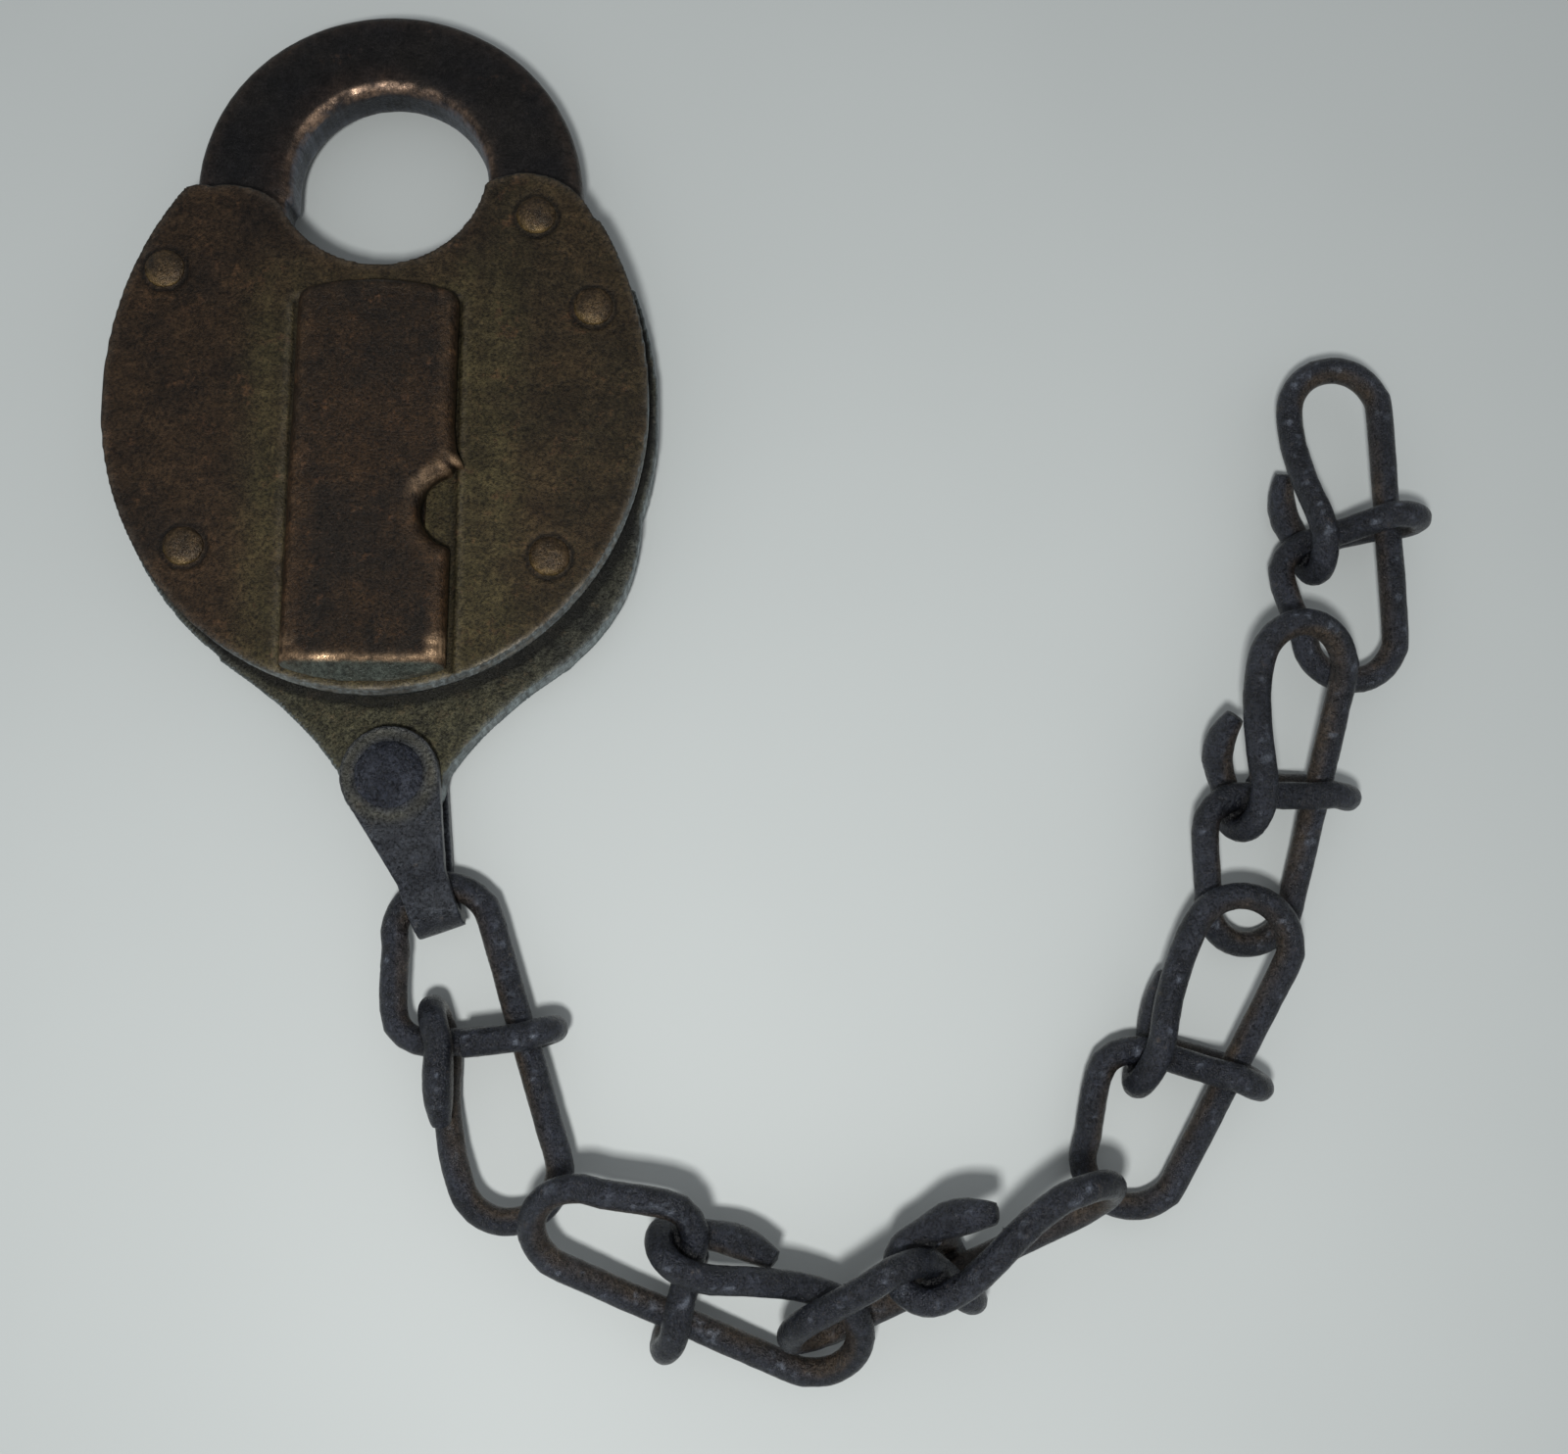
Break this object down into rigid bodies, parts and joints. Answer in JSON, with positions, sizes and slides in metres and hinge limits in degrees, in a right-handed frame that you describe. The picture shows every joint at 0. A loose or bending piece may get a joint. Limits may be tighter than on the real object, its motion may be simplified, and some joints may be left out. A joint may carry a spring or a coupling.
{
  "type": "padlock",
  "caption": "Flat riveted iron padlock with a broad swinging bow, a sliding keyhole cover, and a hanger strap that carries a length of knotted wire chain.",
  "frame": {"origin": "middle of the back plate's rear face, on the widest line of the case", "axes": "+X to the right as the keyhole cover is seen, +Y towards the bow, +Z out of the front face; the padlock lies on its back"},
  "size_m": [0.1508, 0.1545, 0.0182],
  "materials": {
    "front_plate": "hand-forged iron plate under dark brown rust, worn bright on its edge",
    "frame": "grey-brown pitted iron, with the tail worn smooth",
    "back_plate": "dark brown rusted iron plate",
    "shackle": "near-black iron, rubbed coppery on the inner edge",
    "cover": "brown patinated iron with a worn rim",
    "rivets": "dull brass, rubbed bright on the crown",
    "hanger_strap": "blue-grey worn iron",
    "hanger_rivet": "blue-grey peened iron",
    "chain": "pitted iron wire with brown rust in the hollows",
    "bolt": "dull brass",
    "levers": "dull brass sheet",
    "springs": "spring steel, browned with age",
    "posts": "turned iron",
    "stud": "turned iron"
  },
  "bodies": {
    "case": {"body_frame": "frame", "front_plate": "front_plate", "back_plate": "back_plate", "shackle_rivet": "rivets", "case_rivet_1": "rivets", "case_rivet_2": "rivets", "case_rivet_3": "rivets", "case_rivet_4": "rivets", "key_post": "posts", "lever_post": "posts", "bolt_spring": "springs", "lever_spring_1": "springs", "lever_spring_2": "springs", "lever_spring_3": "springs", "shackle_spring": "springs", "hanger_rivet": "hanger_rivet"},
    "shackle": {"shackle": "shackle"},
    "cover": {"keyhole_cover": "cover", "cover_stud": "stud", "cover_spring": "springs"},
    "bolt": {"bolt": "bolt"},
    "lever_1": {"lever_1": "levers"},
    "lever_2": {"lever_2": "levers"},
    "lever_3": {"lever_3": "levers"},
    "hanger": {"hanger_strap": "hanger_strap"},
    "link_1": {"link_1": "chain"},
    "link_2": {"link_2": "chain"},
    "link_3": {"link_3": "chain"},
    "link_4": {"link_4": "chain"},
    "link_5": {"link_5": "chain"},
    "link_6": {"link_6": "chain"}
  },
  "joints": [
    {"name": "shackle_hinge", "type": "hinge", "parent": "case", "child": "shackle", "pos_m": [0.0171, 0.0216, 0.006], "axis": [0, 0, -1], "range_deg": [0, 90]},
    {"name": "cover_slide", "type": "slide", "parent": "case", "child": "cover", "axis": [0, -1, 0], "range_m": [0, 0.016]},
    {"name": "bolt_slide", "type": "slide", "parent": "case", "child": "bolt", "axis": [-1, 0, 0], "range_m": [0, 0.003]},
    {"name": "lever_1_hinge", "type": "hinge", "parent": "case", "child": "lever_1", "pos_m": [0.0155, -0.0035, 0.0065], "axis": [0, 0, 1], "range_deg": [0, 4.2]},
    {"name": "lever_2_hinge", "type": "hinge", "parent": "case", "child": "lever_2", "pos_m": [0.0155, -0.0035, 0.0065], "axis": [0, 0, 1], "range_deg": [0, 4.2]},
    {"name": "lever_3_hinge", "type": "hinge", "parent": "case", "child": "lever_3", "pos_m": [0.0155, -0.0035, 0.0065], "axis": [0, 0, 1], "range_deg": [0, 4.2]},
    {"name": "hanger_hinge", "type": "hinge", "parent": "case", "child": "hanger", "pos_m": [0.0019, -0.0413, 0.0046], "axis": [0, 0, -1], "range_deg": [-20, 40]},
    {"name": "link_1_hinge", "type": "hinge", "parent": "hanger", "child": "link_1", "pos_m": [0.0076, -0.0583, 0.0048], "axis": [0, 0, 1], "range_deg": [-35, 15]},
    {"name": "link_2_hinge", "type": "hinge", "parent": "link_1", "child": "link_2", "pos_m": [0.0153, -0.0833, 0.0053], "axis": [0, 0, 1], "range_deg": [-45, 12]},
    {"name": "link_3_hinge", "type": "hinge", "parent": "link_2", "child": "link_3", "pos_m": [0.047, -0.1, 0.0067], "axis": [0, 0, 1], "range_deg": [-3, 12]},
    {"name": "link_4_hinge", "type": "hinge", "parent": "link_3", "child": "link_4", "pos_m": [0.0735, -0.0874, 0.0114], "axis": [0, 0, 1], "range_deg": [-45, 10]},
    {"name": "link_5_hinge", "type": "hinge", "parent": "link_4", "child": "link_5", "pos_m": [0.0944, -0.06, 0.0079], "axis": [0, 0, 1], "range_deg": [-45, 12]},
    {"name": "link_6_hinge", "type": "hinge", "parent": "link_5", "child": "link_6", "pos_m": [0.1098, -0.0247, 0.0048], "axis": [0, 0, 1], "range_deg": [-60, 25]}
  ],
  "couplings": [
    {"joint": "lever_1_hinge", "follows": "bolt_slide", "rad_per_m": 23.271},
    {"joint": "lever_2_hinge", "follows": "bolt_slide", "rad_per_m": 23.271},
    {"joint": "lever_3_hinge", "follows": "bolt_slide", "rad_per_m": 23.271}
  ]
}
